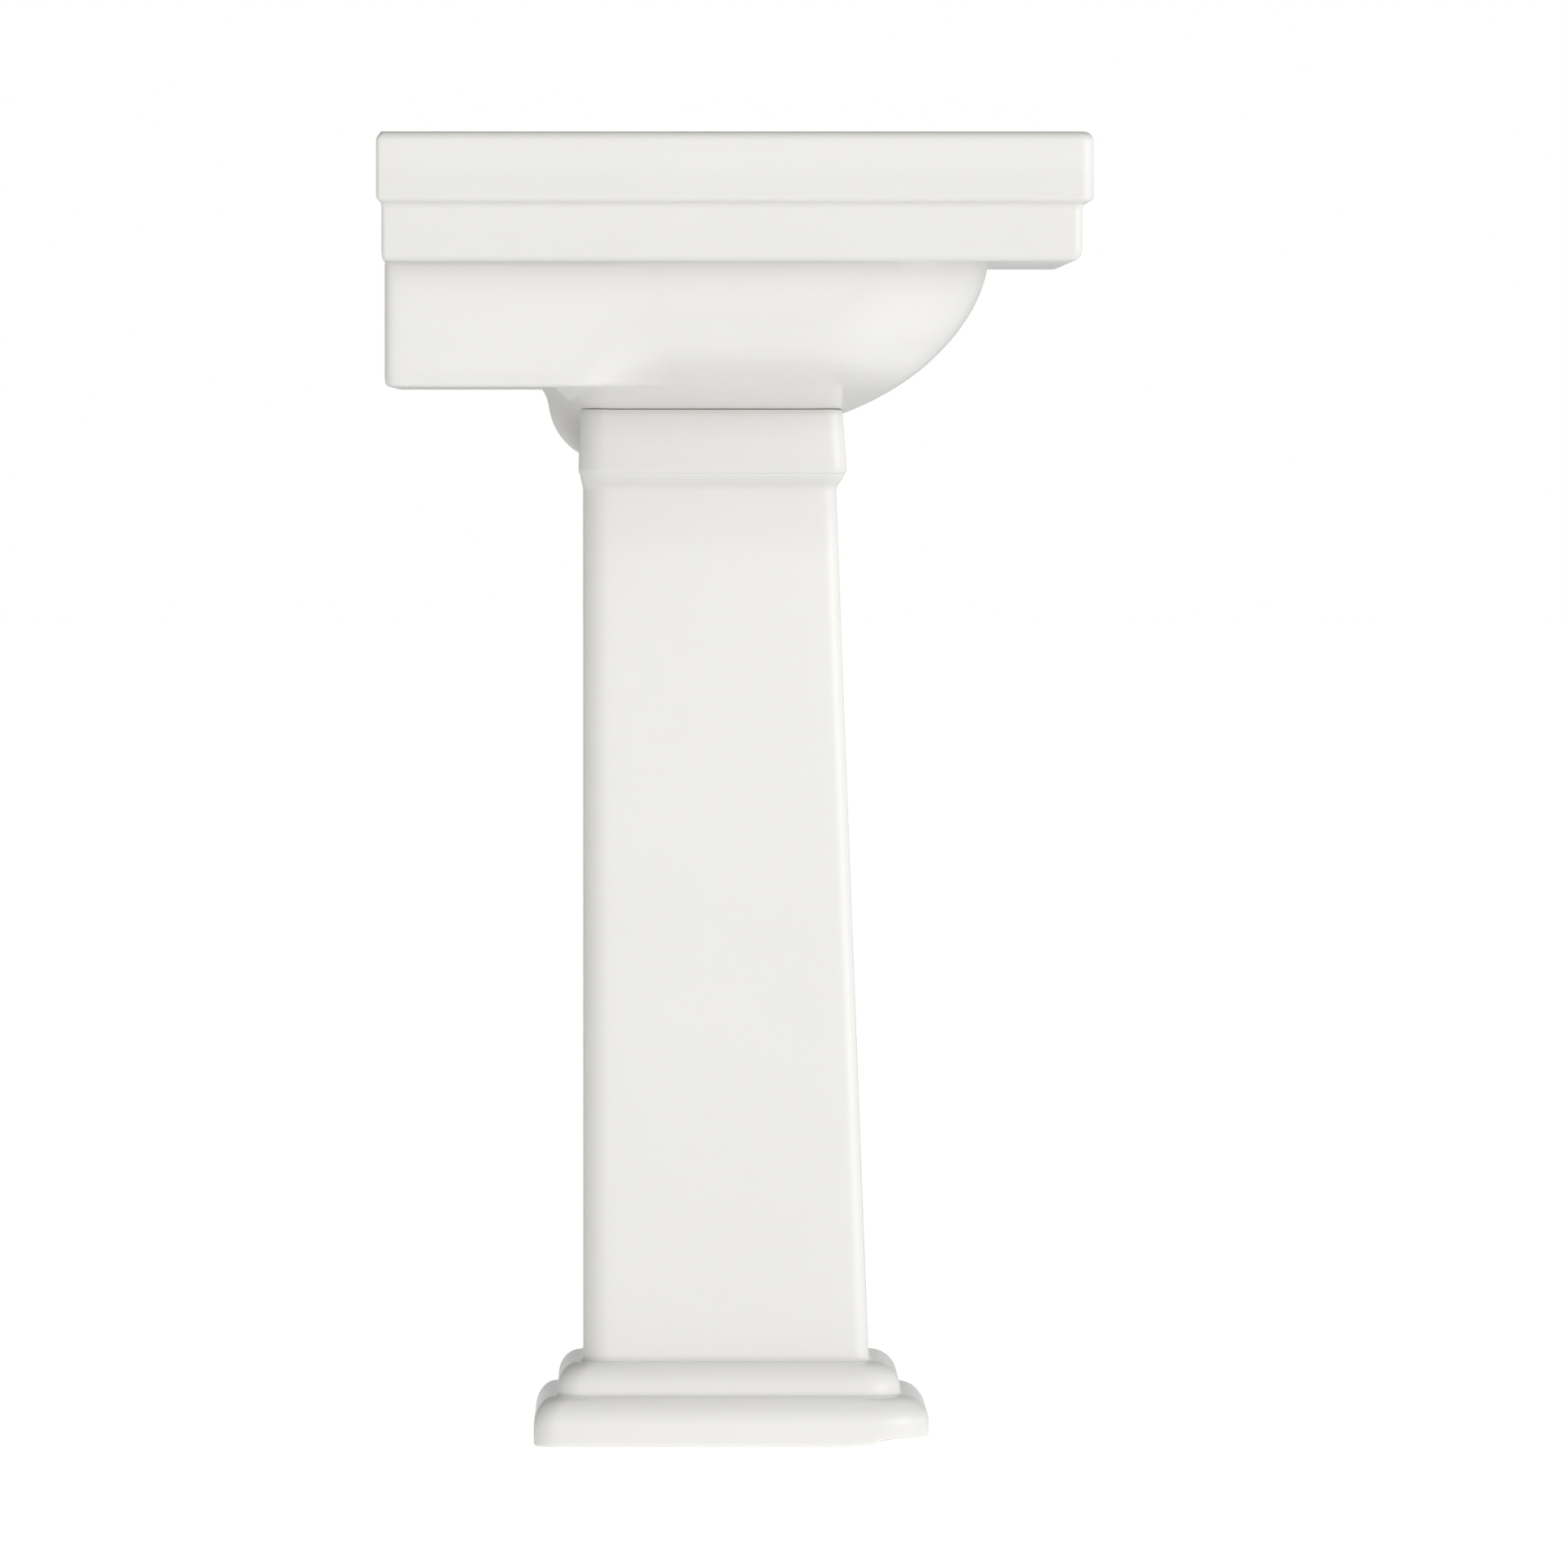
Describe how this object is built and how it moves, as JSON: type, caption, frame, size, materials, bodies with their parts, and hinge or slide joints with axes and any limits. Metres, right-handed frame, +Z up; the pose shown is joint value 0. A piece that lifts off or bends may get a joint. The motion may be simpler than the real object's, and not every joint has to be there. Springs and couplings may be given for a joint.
{
  "type": "pedestal sink",
  "caption": "White china pedestal sink: stepped square rim, sunk bowl, rear apron, tapered square column on a stepped foot, push-button waste and a bottle trap hidden in the column.",
  "frame": {"origin": "on the floor under the centre of the basin's outline", "axes": "+X across the basin, -Y towards the user, +Y into the wall, +Z up"},
  "size_m": [0.61, 0.48, 0.89],
  "materials": {
    "china": "fired gloss glaze",
    "chrome": "bright plated",
    "brass": "turned, unplated",
    "spring_steel": "drawn stainless wire",
    "rubber": "moulded, matt",
    "nylon": "moulded, off-white"
  },
  "bodies": {
    "sink": {"basin": "china", "pedestal": "china", "cushion_pads": "rubber", "drain_body": "chrome", "flange_gasket": "nylon", "cone_gasket": "rubber", "friction_washer": "nylon", "drain_locknut": "brass", "stopper_post": "brass", "stopper_spring": "spring_steel", "tailpiece": "chrome", "tailpiece_washer": "nylon", "trap_body": "chrome", "trap_inlet_nut": "chrome", "trap_inlet_washer": "rubber", "trap_dip_tube": "nylon", "trap_cup": "chrome", "trap_cup_seal": "rubber", "trap_outlet_nut": "chrome", "trap_outlet_washer": "rubber"},
    "stopper": {"stopper_cap": "chrome", "stopper_seal": "rubber", "stopper_barrel": "brass"}
  },
  "joints": [
    {"name": "stopper_press", "type": "slide", "parent": "sink", "child": "stopper", "axis": [0, 0, 1], "range_m": [-0.008, 0], "stiffness_N_per_m": 400, "springref_m": 0.006, "deforming": ["stopper_spring"]}
  ]
}
